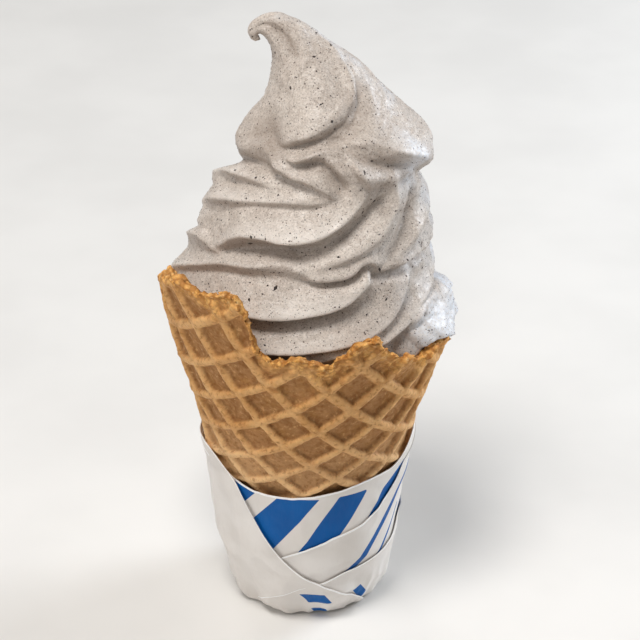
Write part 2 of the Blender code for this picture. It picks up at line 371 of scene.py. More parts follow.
def wafer_material():
    n = Nodes("wafer")
    cloud = n.noise(11.0, 3.0, 0.6)
    patch = n.noise(3.2, 3.0, 0.6)
    grain = n.noise(1.35, 3.0, 0.62)
    bubbles = n.math("SUBTRACT", 1.0, n.cells(1.7)["Distance"])
    pocket = n.attribute("pocket")
    brown = n.attribute("brown")
    pale_and_highlight = n.attribute("pale_and_highlight")
    ridge = n.mix(n.ramp(cloud, 0.3, 0.7), srgb(200, 147, 89), srgb(224, 176, 118))
    floor_ = n.mix(n.ramp(patch, 0.3, 0.7), srgb(152, 104, 57), srgb(180, 133, 85))
    # paler ridges and pocket floors low down and towards the left, with a painted highlight of the window light on the
    # right
    ridge = n.mix(pale_and_highlight, ridge, srgb(236, 196, 146))
    floor_ = n.mix(pale_and_highlight, floor_, srgb(214, 170, 122))
    # pocket floors darker than the ridges: partly the wafer's own colour, partly painted shade in the pockets
    colour = n.mix(n.ramp(pocket, 0.15, 0.85), ridge, floor_)
    colour = n.mix(n.ramp(patch, 0.55, 0.75, 0.0, 0.4), colour, srgb(150, 96, 50))
    colour = n.mix(n.ramp(grain, 0.50, 0.72, 0.0, 0.55), colour, srgb(132, 82, 40))
    colour = n.mix(n.ramp(grain, 0.44, 0.28, 0.0, 0.45), colour, srgb(238, 190, 126))
    toasted = n.mix(n.ramp(patch, 0.35, 0.7), srgb(240, 184, 106), srgb(200, 136, 66))
    toasted = n.mix(n.ramp(bubbles, 0.62, 0.35, 0.0, 0.65), toasted, srgb(150, 92, 38))
    toasted = n.mix(n.ramp(grain, 0.48, 0.68, 0.0, 0.45), toasted, srgb(142, 88, 38))
    toasted = n.mix(n.ramp(grain, 0.44, 0.28, 0.0, 0.5), toasted, srgb(246, 206, 146))
    colour = n.mix(brown, colour, toasted)
    pores = n.cells(1.1)["Distance"]
    normal = n.bump(patch, 0.6, 0.4)
    normal = n.bump(pores, 0.18, 0.4, normal)
    normal = n.bump(grain, 0.3, 0.7, normal)
    normal = n.bump(n.math("MULTIPLY", bubbles, brown), 0.9, 0.7, normal)
    return n.finish(
        colour,
        n.ramp(grain, 0.3, 0.7, 0.58, 0.85),
        normal,
        Subsurface_Weight=0.08,
        Subsurface_Radius=(1.0, 0.5, 0.25),
        Subsurface_Scale=0.0012,
        Specular_IOR_Level=0.25,
    )


def paper_material():
    n = Nodes("sleeve_paper")
    ink = n.ramp(n.attribute("ink"), -0.05, 0.05)
    cloud = n.noise(14.0, 3.0)
    fibre = n.noise(0.8, 3.0, 0.6, stretch=(1.0, 1.0, 0.3))
    plain = n.mix(n.ramp(cloud, 0.3, 0.7), srgb(222, 216, 210), srgb(232, 227, 222))
    plain = n.mix(n.ramp(fibre, 0.5, 0.8, 0.0, 0.12), plain, srgb(205, 198, 190))
    blue = n.mix(n.ramp(cloud, 0.3, 0.7), srgb(0, 82, 152), srgb(0, 93, 166))
    blue = n.mix(n.ramp(fibre, 0.5, 0.8, 0.0, 0.12), blue, srgb(14, 108, 180))
    colour = n.mix(ink, plain, blue)
    # painted highlight: a bright white line along each layer's cut top edge, as if the edge catches the light
    colour = n.mix(n.ramp(n.attribute("cut_edge_highlight"), 0.50, 0.72, 1.0, 0.0), colour, srgb(252, 252, 252))
    crease = n.ramp(n.cells(16.0, "DISTANCE_TO_EDGE")["Distance"], 0.0, 0.22, smooth=False)
    normal = n.bump(crease, 0.6, 0.22)
    normal = n.bump(n.noise(4.0, 2.0), 0.25, 0.12, normal)
    normal = n.bump(fibre, 0.05, 0.5, normal)
    return n.finish(
        colour,
        n.ramp(fibre, 0.3, 0.7, 0.5, 0.68),
        normal,
        Subsurface_Weight=0.12,
        Subsurface_Radius=(1.0, 1.0, 1.0),
        Subsurface_Scale=0.0006,
        Specular_IOR_Level=0.25,
    )


def floor_material():
    n = Nodes("pale_floor")
    colour = n.mix(n.ramp(n.noise(60.0, 3.0), 0.3, 0.7), srgb(222, 220, 217), srgb(228, 226, 223))
    normal = n.bump(n.noise(1.5, 2.0), 0.05, 0.2)
    return n.finish(colour, 0.7, normal, Specular_IOR_Level=0.2)


# ---------------------------------------------------------------- the wafer


def cone_x(z):
    return CONE_LEAN * (z - CONE_UPRIGHT_Z)


def cone_radius(z):
    upper = CONE_SLOPE * (z - CONE_APEX_Z)
    h = np.maximum(z - NOSE_Z, 0.0)
    lower = np.where(
        h < NOSE_ROUND,
        NOSE_RADIUS * np.sqrt(h / NOSE_ROUND),
        NOSE_RADIUS + NOSE_SLOPE * (h - NOSE_ROUND),
    )
    return 0.5 * (upper + lower - np.sqrt((upper - lower) ** 2 + KINK_BLEND**2))


def swell(azimuth, z):
    """The wafer stands out a little further where the sleeve ends."""
    left = 2.7 * bell(wrap(azimuth + 74) / 21) * (1 - fade(z, 47, 61))
    front = 1.5 * bell(wrap(azimuth - 8) / 48) * (1 - fade(z, 44, 56))
    return left + front + 3.1 * bell(wrap(azimuth - 84) / 30) * (1 - fade(z, 50, 62))


def above_foot(z):
    return fade(z, 38, 46)


def cone_inner(z):
    slope = (cone_radius(z + 0.2) - cone_radius(z - 0.2)) / 0.4
    return cone_radius(z) - WALL * np.sqrt(1 + np.minimum(slope, 0.75) ** 2)


def rim_height(azimuth):
    a = wrap(azimuth)
    return (
        91.5
        + 6.0 * np.cos(np.radians(a + 95))
        + 23.0 * sigmoid((a + 74) / 9) * sigmoid((-22.5 - a) / 1.2)
        + 8.0 * sigmoid((a + 25) / 4) * sigmoid((73 - a) / 4)
        + 8.4 * bell((a - 21) / 8.5)
        - 3.5 * bell((a - 49) / 4)
    )


def seam_offset(azimuth):
    back = (SEAM_AZIMUTH - azimuth) % 360.0
    return SEAM_RISE * np.clip((SEAM_RAMP - back) / 20.0, 0, 1)


def grid_place(azimuth, z):
    """Where a point of the rolled cone lies on the flat waffle grid, in cells."""
    half_angle = math.atan(CONE_SLOPE)
    slant = (z - CONE_APEX_Z) / math.cos(half_angle)
    flat = slant + GRID_STRETCH * (slant - GRID_MID) ** 2
    turn = np.radians(azimuth) + GRID_TWIST * (slant - GRID_MID)
    x = flat * np.sin(turn * math.sin(half_angle)) - GRID_ORIGIN[0]
    y = flat * np.cos(turn * math.sin(half_angle)) - GRID_ORIGIN[1]
    c, s = math.cos(GRID_ANGLE), math.sin(GRID_ANGLE)
    return (x * c + y * s) / CELL, (x * s - y * c) / CELL


def broken_rim(azimuth):
    """The rim with its crumbled edge."""
    around = np.stack(
        [np.cos(np.radians(azimuth)) * 40, np.sin(np.radians(azimuth)) * 40, 0 * azimuth], -1
    )
    lumps = np.abs(noise(around, 3.0, 9)) + 0.5 * np.abs(noise(around, 1.6, 10)) - 0.45
    behind = 1.8 * bell(wrap(azimuth + 112) / 15)
    return rim_height(azimuth) + behind - 0.9 + 0.9 * layered_noise(around, 5.0, 3, 2) + 1.6 * lumps


def rim_thickness(azimuth):
    return WALL + 1.5 * bell(wrap(azimuth + 92) / 32)


def build_wafer(material):
    # columns are closer together where the rim rises steeply
    fine = np.linspace(SEAM_AZIMUTH - 360 + 0.1, SEAM_AZIMUTH, 7201)
    weight = 1 + 2.2 * bell((fine + 23) / 5) + 0.7 * bell((fine - 21) / 12) + 0.6 * bell((fine - 49) / 7)
    total = np.concatenate([[0], np.cumsum(0.5 * (weight[1:] + weight[:-1]))])
    azimuth = np.interp(np.linspace(0, total[-1], 520), total, fine)
    count = len(azimuth)
    rim = broken_rim(azimuth)
    low = NOSE_Z + np.array([0.0, 0.35, 1.3, 3.2, 6.0, 10.0, 15.0, 20.0, 24.0, 27.0])
    heights = np.concatenate([low, np.arange(37.5, 121.0, 0.52)])
    z = np.minimum(heights[:, None], rim[None, :])
    a = np.broadcast_to(azimuth, z.shape)

    i, j = grid_place(a, z)
    wobble = np.stack([42 * np.sin(np.radians(a)), -42 * np.cos(np.radians(a)), z], -1)
    edge = np.minimum(np.abs(i - np.round(i)), np.abs(j - np.round(j))) + 0.022 * layered_noise(wobble, 3.4, 91, 2)
    worn = fade(rim[None, :] - z, 0.5, 7.0)
    pocket = fade(edge, RIDGE_TOP, RIDGE_FOOT) * fade(z, 38, 42) * (0.25 + 0.75 * worn)
    pocket *= 1 - 0.85 * np.maximum(bell(wrap(a + 60) / 20), bell(wrap(a - 80) / 30)) * (1 - fade(z, 49, 57))
    r = cone_radius(z) + seam_offset(a) + swell(a, z) * above_foot(z)
    r = r - POCKET_DEPTH * pocket - 0.3 * np.clip(edge / RIDGE_TOP, 0, 1) ** 2
    t = np.radians(a)
    outer = np.stack([cone_x(z) + r * np.sin(t), -r * np.cos(t), z], -1)
    way_out = np.stack([np.sin(t), -np.cos(t), np.full_like(t, -0.25)], -1)
    above = fade(z, 42, 50)
    outer += way_out * (
        above * (0.16 * noise(outer, 2.6, 21) + 0.12 * noise(outer, 1.1, 22) - 0.2 * (1 - fade(z, 54, 60)))
        + fade(z, 56, 66) * 0.35 * noise(outer, 16.0, 23)
    )[..., None]

    # over the rim and down the inside
    thick = rim_thickness(azimuth)
    rows = []
    steps = 7
    for k in range(1, steps + 1):
        v = k / (steps + 1)
        top = 0.40 * np.sin(math.pi * v) ** 0.6
        layer = -0.55 * bell((v - 0.55) / 0.1) * bell(wrap(azimuth + 92) / 40)
        rr = cone_radius(rim) + seam_offset(azimuth) - thick * v
        rows.append((rr, rim + top + layer))
    inside = np.concatenate([[0.0, 0.6, 1.4, 2.4, 3.6], np.arange(5, 17, 1.5)])
    for d in inside:
        zz = rim - d
        rows.append((cone_radius(zz) + seam_offset(azimuth) - thick * (1 - 0.03 * min(d, 3)), zz))
    depth = rows[-1][1]
    for share in (0.75, 0.5, 0.3, 0.15, 0.06, 0.0):
        zz = NOSE_Z + 3.2 + (depth - NOSE_Z - 3.2) * share
        rows.append((np.minimum(cone_inner(zz), rows[-1][0]), zz))
    t1 = np.radians(azimuth)
    inner = np.stack(
        [np.stack([cone_x(zz) + rr * np.sin(t1), -rr * np.cos(t1), zz], -1) for rr, zz in rows]
    )
    points = np.concatenate([outer, inner])
    # the rim is crumbly: every point near it moves
    near = np.exp(-np.maximum(rim[None, :] - points[..., 2], 0) / 3.4) * (points[..., 2] > 60)
    shove = np.stack([noise(points, 3.4, 31 + k) for k in range(3)], -1)
    shove += 0.55 * np.stack([noise(points, 1.7, 41 + k) for k in range(3)], -1)
    lumps = np.abs(noise(points, 2.8, 35)) + 0.5 * np.abs(noise(points, 1.5, 36)) - 0.4
    swollen = grid_normals(points, False) * (lumps * (points[..., 2] > 60))[..., None]
    corner = bell(wrap(azimuth + 76) / 19)[None, :]
    points = points + near[..., None] * ((0.55 * shove + 1.3 * swollen) * (1 - 0.5 * corner)[..., None])
    pull = (1.7 * near * corner)[..., None]
    points[..., :2] -= pull * np.stack([np.sin(np.radians(azimuth)), -np.cos(np.radians(azimuth))], -1)[None]

    grain = layered_noise(points, 6.0, 51)
    below = np.maximum(rim[None, :] - points[..., 2], 0)
    brown = np.clip(1.0 * np.exp(-below / (4.2 + 2.4 * grain)) + 0.15 * grain, 0, 1)
    brown[: len(heights)][(z < 60)] *= 0
    pale_and_highlight = np.zeros(points.shape[:2])
    # paler low down and towards the left; the part at the right is a painted highlight of the window light
    pale_and_highlight[: len(heights)] = (1 - fade(z, 48, 72)) * (0.5 + 0.5 * bell((a + 62) / 34) + 0.4 * bell((a - 75) / 30))
    full_pocket = np.zeros(points.shape[:2])
    full_pocket[: len(heights)] = pocket

    rows_all = points.shape[0]
    faces = grid_faces(rows_all, count, False)
    # the seam joins the last column to the first
    r0 = np.arange(rows_all - 1)
    seam = np.stack([r0 * count + count - 1, r0 * count, (r0 + 1) * count, (r0 + 1) * count + count - 1], -1)
    faces = np.concatenate([faces, seam])
    flat = points.reshape(-1, 3)
    # rows above the broken rim have no height, so each column keeps one point there
    same = np.zeros(points.shape[:2], bool)
    same[1 : len(heights)] = heights[:-1, None] >= rim[None, :]
    target = np.arange(flat.shape[0]).reshape(points.shape[:2])
    for k in range(1, len(heights)):
        target[k] = np.where(same[k], target[k - 1], target[k])
    faces = target.reshape(-1)[faces]
    clean = []
    for f in faces.tolist():
        g = [v for k, v in enumerate(f) if v != f[k - 1]]
        if len(set(g)) == len(g) and len(g) > 2:
            clean.append(g)
    # the two ends close at the nose
    flat = np.concatenate([flat, [[cone_x(NOSE_Z), 0, NOSE_Z], [cone_x(NOSE_Z), 0, NOSE_Z + 2.9]]])
    last = (rows_all - 1) * count
    for k in range(count):
        clean.append([k, len(flat) - 2, (k + 1) % count])
        clean.append([last + k, last + (k + 1) % count, len(flat) - 1])
    used = np.unique(np.concatenate([np.array(f) for f in clean]))
    renumber = np.full(len(flat), -1)
    renumber[used] = np.arange(len(used))
    clean = [[int(renumber[v]) for v in f] for f in clean]
    values = {
        "pocket": np.append(full_pocket.ravel(), [0, 0])[used],
        "brown": np.append(brown.ravel(), [0, 0])[used],
        "pale_and_highlight": np.append(pale_and_highlight.ravel(), [0, 0])[used],
    }
    made = piece("wafer_shell", flat[used], clean, material, values)
    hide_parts("waffle_cone")
    return azimuth, points[len(heights) : len(heights) + steps]


# ---------------------------------------------------------------- the soft serve

# Ridges: reach above, reach below, then azimuth, height and relief along the ridge
CRESTS = [
    (5.0, 8.0, [(78, 124.0, 0.6), (91, 125.3, 1.4), (140, 131, 2.6), (200, 137, 2.8), (250, 141, 1.4), (282, 144, 0.8)]),
    (3.0, 4.0, [(-78, 144, 0.8), (-66, 146.4, 2.0), (-53, 148.5, 3.0), (-42, 147.9, 3.0), (-27, 145, 2.7), (-15, 143.2, 2.3), (-6, 141.3, 1.9), (8, 137.5, 1.2), (18, 136.5, 0.0)]),
    (1.7, 5.0, [(-108, 130.5, 0.6), (-97, 133, 3.0), (-88, 135.4, 4.2), (-77, 138.1, 4.6), (-62, 139.8, 3.2), (-47, 141, 1.6), (-35, 140.5, 0.0)]),
    (3.4, 7.0, [(-80, 137.6, 1.2), (-66, 139.3, 2.2), (-47, 141, 2.6), (-30, 140.3, 1.5), (-17, 140.2, 0.8), (-5, 139, 0.0)]),
    (5.0, 5.5, [(60, 104.0, 1.0), (78, 106.5, 1.5), (95, 108.5, 1.4), (120, 111, 2.4), (170, 118, 3.2), (220, 126, 1.8), (252, 130.5, 0.6)]),
    (5.0, 4.0, [(-96, 124.1, 0.9), (-85, 127.5, 1.1), (-73, 130.9, 2.6), (-55, 134.4, 3.2), (-30, 137.1, 3.0), (-12, 137.6, 2.0), (-1, 137.7, 0.9), (8, 138, 0.0)]),
    (5.0, 4.5, [(85, 98.5, 1.0), (100, 99.5, 2.2), (140, 104, 3.0), (190, 111, 3.2), (230, 118, 2.2), (264, 124.1, 1.3)]),
    (8.5, 4.5, [(-100, 117.5, 0.5), (-90, 119.8, 1.2), (-80, 121.4, 1.1), (-72, 122.0, 0.5), (-66, 122.0, 0.0)]),
    (8.5, 3.8, [(-66, 118.0, 0.0), (-57, 120.4, 1.4), (-50, 123.2, 2.6), (-45, 125.6, 3.1), (-38, 127.6, 3.5), (-28, 128.6, 3.9), (-18, 128.5, 4.2), (-9, 128.9, 4.2), (2, 130.7, 4.0), (10, 133.4, 3.3), (15, 136.4, 2.6), (20, 139.4, 1.4), (25, 142, 0.0)]),
    (5.0, 4.5, [(140, 95, 1.5), (180, 101, 3.0), (225, 109, 2.4), (260, 117.5, 1.2)]),
    (1.8, 6.0, [(-106, 110.8, 1.4), (-96, 113.8, 2.6), (-90, 116, 3.3), (-76, 119.8, 3.1), (-68, 120.2, 2.4), (-56, 119.7, 1.4), (-50, 117.6, 0.2)]),
    (5.0, 4.5, [(180, 94, 1.5), (215, 100, 2.4), (238, 106, 1.8), (254, 110.8, 1.4)]),
    (2.6, 4.5, [(-100, 103.5, 3.2), (-88, 106.1, 3.6), (-78, 110, 3.4), (-50, 117.6, 2.4), (-32, 120, 2.5), (-19, 121.6, 2.4), (-12, 121.3, 2.1), (-4, 119.5, 1.4), (0, 117.9, 0.6), (4, 116.5, 0.0)]),
    (5.0, 4.5, [(215, 95, 1.5), (250, 101, 3.0), (260, 103.5, 3.2)]),
    (7.0, 5.0, [(-8, 119.5, 0.0), (-2, 120.8, 1.0), (12, 123.3, 2.4), (22, 125.1, 2.8), (32, 127.9, 3.0), (39, 132.2, 2.8), (42, 135.3, 2.2), (36, 140.4, 1.0), (30, 143, 0.0)]),
    (6.0, 1.5, [(-8, 117.2, 0.0), (-3, 117.9, 1.4), (3, 117.6, 2.4), (15, 118.0, 2.8), (21, 119.7, 2.8), (25, 121.3, 2.4), (32, 120.0, 1.8), (45, 118, 1.6), (60, 117.5, 1.5), (81, 117, 1.5), (120, 120.5, 1.6), (170, 126.5, 1.6), (220, 132.5, 1.4), (257, 138, 1.0), (275, 140, 0.0)]),
    (5.0, 6.0, [(30, 116.5, 0.4), (35, 118, 1.4), (45, 120.4, 2.0), (58, 123.4, 2.2), (73, 125.7, 2.0), (91, 125.3, 1.4)]),
    (9.5, 2.8, [(-110, 97.5, 1.5), (-90, 100, 2.5), (-64, 104.5, 3.4), (-45, 106.8, 4.0), (-31, 107.8, 4.3), (-16, 108.1, 4.4), (-4, 109.2, 4.4), (9, 110.6, 4.0), (18, 112.6, 3.4), (28, 117.2, 2.4), (31, 119, 0.4)]),
    (7.5, 2.8, [(-60, 95, 1.0), (-40, 97, 2.5), (-21, 98, 4.0), (10, 100, 4.0), (23, 101, 3.8), (36, 103.5, 3.2), (45, 108, 2.4), (52, 114.3, 1.0), (56, 117, 0.0)]),
    (5.0, 4.0, [(-5, 94.5, 0.5), (5, 95.9, 2.0), (16, 97.7, 3.2), (30, 97.8, 3.2), (45, 100.8, 3.0), (56, 103.8, 3.0), (66, 105.5, 2.4), (78, 106.5, 1.5)]),
    (11.0, 4.6, [(-60, 146.8, 0.0), (-49, 149.0, 0.5), (-38, 149.8, 1.4), (-31, 151.4, 2.3), (-23, 153.2, 2.8), (-12, 155.0, 3.0), (-4, 156.4, 2.8), (4, 157.8, 2.4), (12, 159.2, 1.9), (19, 160.6, 1.2), (27, 162.4, 0.4), (33, 164.0, 0.0)]),
    (10.0, 5.6, [(-2, 151.2, 0.0), (6, 151.8, 0.8), (14, 152.6, 1.6), (25, 152.6, 2.3), (36, 150.8, 2.5), (50, 147.4, 2.2), (70, 142.4, 2.0), (82, 140.5, 1.5), (95, 140, 1.0), (110, 140, 0.6), (140, 141, 0.8), (190, 146, 1.2), (225, 149, 0.8), (250, 150.5, 0.2), (268, 151, 0.1), (288, 151, 0.4), (302, 150, 0.5)]),
    (2.6, 2.4, [(-39, 148.2, 0.4), (-33, 148.7, 1.8), (-24, 148.7, 2.7), (-18, 149.5, 2.8), (-12, 150.5, 2.7), (-5, 151.2, 2.5), (2, 151.1, 2.4), (8, 150.4, 2.4), (12, 148.2, 2.3), (15, 145.2, 2.0), (17, 142.4, 1.2), (18, 140.4, 0.0)]),
    (10.0, 2.6, [(-2, 152.0, 0.0), (4, 151.4, 1.2), (9, 150.0, 2.2), (13, 147.4, 2.6), (16, 144.8, 2.6), (19, 142.4, 2.3), (21, 140.2, 1.6), (24, 138.0, 0.8), (27, 136.0, 0.0)]),
]
# Grooves: reach, then azimuth, height and depth along the groove
GROOVES = [
    (2.6, [(-80, 141, 0.8), (-67, 142.5, 1.6), (-50, 143.0, 2.0), (-37, 142.2, 2.0), (-20, 141.2, 1.6), (-8, 140, 0.4)]),
    (3.0, [(-31, 146.6, 0.8), (-24, 146.0, 2.0), (-16, 146.6, 2.6), (-9, 147.0, 3.0), (-3, 145.2, 3.0), (2, 142.4, 2.6), (6, 140.0, 1.4), (9, 138.6, 0.0)]),
    (1.4, [(-43, 148.6, 0.2), (-35, 147.4, 0.9), (-27, 145.6, 1.1), (-18, 143.2, 0.8), (-11, 141.6, 0.0)]),
    (3.2, [(-46, 148.2, 0.3), (-39, 148.8, 1.2), (-32, 149.8, 2.2), (-24, 150.9, 2.8), (-15, 151.8, 3.0), (-5, 152.3, 3.0), (3, 152.1, 2.8), (9, 151.2, 2.8), (14, 149.8, 3.0), (19, 148.2, 2.8), (26, 146.6, 2.6), (34, 145.4, 2.4), (43, 144.8, 2.0), (52, 143.6, 1.5), (69, 138.4, 1.4), (90, 134, 1.5), (110, 133, 1.2), (140, 136, 1.3), (180, 141, 1.6), (220, 145.5, 1.4), (245, 147.5, 0.7), (260, 148, 0.3), (300, 148.5, 0.3)]),
    (3.6, [(-24, 151.0, 0.6), (-14, 152.6, 1.8), (-4, 153.8, 2.2), (6, 155.2, 2.4), (15, 156.8, 2.2), (23, 158.8, 1.6), (31, 160.8, 0.6), (36, 162.4, 0.0)]),
    (3.8, [(-49, 120.9, 1.0), (-38, 122.6, 2.0), (-28, 123.9, 2.6), (-8, 124.3, 2.7), (5, 126, 2.5), (16, 128.8, 2.3), (26, 132.5, 2.0), (33, 137, 1.0), (35, 140, 0.0)]),
    (1.9, [(-8, 116.6, 0.4), (-3, 116.6, 1.5), (3, 116.4, 2.2), (15, 116.7, 2.7), (21, 118.2, 2.7), (24, 119.6, 2.4), (28, 118.7, 2.2), (31, 116.6, 2.4), (45, 115.1, 2.2), (52, 115.2, 2.0), (67, 115.2, 1.7), (81, 114.6, 1.6), (120, 118, 1.6), (170, 124, 1.6), (220, 130, 1.6), (257, 135.5, 1.5), (282, 139.8, 1.0)]),
    (3.5, [(36, 119.5, 1.4), (43, 121.5, 1.9), (50, 124.5, 1.9), (57, 128.5, 1.6), (60, 133, 1.0), (60, 137, 0.2)]),
    (3.0, [(-48, 103.5, 0.3), (-31, 105.0, 1.8), (-23, 105.2, 2.3), (-16, 105.5, 2.6), (-3, 106.6, 2.4), (9, 107.9, 2.0), (18, 109.7, 1.3), (24, 112.5, 0.3)]),
    (3.0, [(40, 139.5, 0.3), (45, 139.5, 1.2), (55, 139.3, 1.4), (64, 138, 0.6)]),
    (3.0, [(16, 140.6, 0.6), (24, 140.2, 1.0), (35, 139.2, 0.8), (42, 138.6, 0.2)]),
]
# On the top lobe: reach, then azimuth, place along the sections and relief
LOBE_LINES = [
    (3.4, [(78, 17.0, 0.9), (53, 16.3, 0.9), (52, 15.3, 0.9), (39, 14.7, 0.9), (19, 14.0, 0.9), (8, 13.5, 0.9), (-11, 12.9, 0.9), (-21, 12.5, 0.8), (-43, 11.8, 0.5), (-62, 11.1, 0.0)]),
    (2.8, [(5, 17.5, -1.6), (16, 16.5, -3.0), (9, 15.7, -3.4), (5, 15.0, -3.2), (-3, 14.0, -2.5), (-16, 13.1, -1.5), (-29, 12.5, -0.4), (-42, 12.1, 0.0)]),
    (4.0, [(71, 14.6, 0.3), (72, 13.8, 0.6), (62, 13.0, 1.1), (50, 12.2, 1.5), (41, 11.6, 1.9), (32, 11.1, 2.1), (20, 10.5, 2.0), (8, 10.0, 1.6), (-6, 9.6, 0.6)]),
    (1.5, [(71, 14.6, 0.2), (72, 13.8, 0.35), (62, 13.0, 0.6), (50, 12.2, 0.6), (41, 11.6, 0.5), (32, 11.1, 0.2), (20, 10.5, 0.0)]),
    (3.4, [(72, 12.9, 0.0), (63, 12.2, -0.9), (53, 11.4, -1.6), (42, 10.8, -2.2), (30, 10.3, -2.6), (20, 9.8, -2.4), (10, 9.5, -1.6), (0, 9.3, -0.6)]),
    (4.5, [(170, 16.2, 0.8), (150, 15.5, 0.6), (128, 14.5, 0.0)]),
    (4.5, [(220, 16.0, 0.9), (190, 15.0, 0.9), (160, 13.5, 0.9), (130, 12.0, 0.3), (118, 11.0, 0.0)]),
    (4.5, [(260, 14.6, 0.3), (230, 13.0, 0.9), (200, 11.6, 0.9), (170, 10.2, 0.7), (150, 9.3, 0.2)]),
    (4.5, [(262, 12.4, 0.2), (240, 11.0, 0.8), (215, 9.8, 0.6), (200, 9.2, 0.0)]),
]
# Soft swellings and hollows: azimuth, place along the sections, reach, relief
SWELLINGS = [
    (-2, 12.2, 5.0, 0.6),
    (-9, 11.2, 6.0, 0.8),
    (-13, 10.3, 6.0, 1.1),
    (-14, 9.5, 5.0, 0.9),
    (-60, 8.9, 5.5, -2.4),
    (-45, 8.5, 4.5, -1.8),
    (-92, 8.1, 4.5, 0.7),
    (-106, 9.5, 5.0, -0.7),
    (-118, 5.4, 8.0, -4.2),
    (-112, 8.6, 5.0, -1.2),
    (98, 10.0, 8.0, -0.7),
    (116, 12.6, 7.0, -1.2),
    (114, 10.6, 7.0, -0.6),
    (114, 8.8, 7.0, -1.2),
]
# Painted shade where it turns under: azimuth, place along the sections, reach, strength of the painted shade
PAINTED_SHADE_SPOTS = [
    (-62, 8.7, 5.5, 0.6), (-49, 9.0, 5.0, 0.6), (-40, 8.9, 3.5, 0.4), (14, 16.3, 1.3, 0.5), (9, 15.7, 1.5, 0.6),
    (5, 15.0, 1.8, 0.6), (0, 14.5, 1.8, 0.5), (-4, 13.9, 1.8, 0.5), (-11, 13.4, 1.8, 0.35), (-20, 12.9, 2.0, 0.2),
    (12, 9.6, 3.5, 0.3), (25, 10.3, 3.5, 0.3), (30, 8.9, 4.5, 0.35), (42, 8.5, 4.5, 0.3), (0, 9.2, 3.5, 0.3),
]
FLAT = 0.59  # millimetres for each degree of azimuth in the unrolled swirl


def densify(control, count=8):
    control = np.asarray(control, float)
    x = np.arange(len(control))
    q = np.linspace(0, len(control) - 1, (len(control) - 1) * count + 1)
    return np.stack([smooth_through(x, control[:, c], q) for c in range(control.shape[1])], -1)


def ridge_field(azimuth, z, control, up, down, power_up, power_down, rounding):
    """Relief of one ridge, with the reach above it and below it given apart."""
    out = np.zeros(azimuth.shape)
    line = densify(control)
    line[:, 0] *= FLAT
    reach = max(up, down)
    for turn in (0.0, 360.0):
        x_all = (azimuth + turn) * FLAT
        near = (
            (x_all > line[:, 0].min() - reach)
            & (x_all < line[:, 0].max() + reach)
            & (z > line[:, 1].min() - reach)
            & (z < line[:, 1].max() + reach)
        )
        if not near.any():
            continue
        x, y = x_all[near], z[near]
        best = np.full(x.shape, 1e9)
        side = np.zeros(x.shape)
        height = np.zeros(x.shape)
        for p, q in zip(line, line[1:]):
            dx, dy = q[0] - p[0], q[1] - p[1]
            length = dx * dx + dy * dy
            if length < 1e-9:
                continue
            t = np.clip(((x - p[0]) * dx + (y - p[1]) * dy) / length, 0, 1)
            ex, ey = x - p[0] - t * dx, y - p[1] - t * dy
            d2 = ex * ex + ey * ey
            closer = d2 < best
            best = np.where(closer, d2, best)
            side = np.where(closer, dx * ey - dy * ex, side)
            height = np.where(closer, p[2] + (q[2] - p[2]) * t, height)
        d = np.sqrt(best + rounding**2) - rounding
        width = np.where(side > 0, up, down)
        power = np.where(side > 0, power_up, power_down)
        value = np.maximum(height, 0) * np.clip(1 - d / width, 0, 1) ** power
        out[near] = np.maximum(out[near], value)
    return out


def gather(fields, power=7.0):
    """A smooth maximum of fields that are 0 or more."""
    total = np.zeros(fields[0].shape)
    for f in fields:
        total += f**power
    return total ** (1 / power)


def section_way():
    """How far along the swirl each section lies."""
    cx, cz, half, tilt = SECTIONS.T
    t = np.radians(tilt)
    left = np.stack([cx - half * np.cos(t), cz - half * np.sin(t)], -1)
    right = np.stack([cx + half * np.cos(t), cz + half * np.sin(t)], -1)
    step = 0.5 * (
        np.linalg.norm(np.diff(left, axis=0), axis=1) + np.linalg.norm(np.diff(right, axis=0), axis=1)
    )
    return np.concatenate([[0], np.cumsum(step)])


def swirl_base(way, azimuth):
    """Points, outward directions and half widths of the plain swirl."""
    stations = section_way()
    cx, cz, half, tilt = (smooth_through(stations, SECTIONS[:, k], way) for k in range(4))
    t = np.radians(tilt)
    a = np.radians(azimuth)
    out = np.stack([np.sin(a) * np.cos(t), -DEPTH_SHARE * np.cos(a), np.sin(a) * np.sin(t)], -1)
    centre = np.stack([cx, 0 * cx, cz], -1)
    return centre + half[..., None] * out, out, half


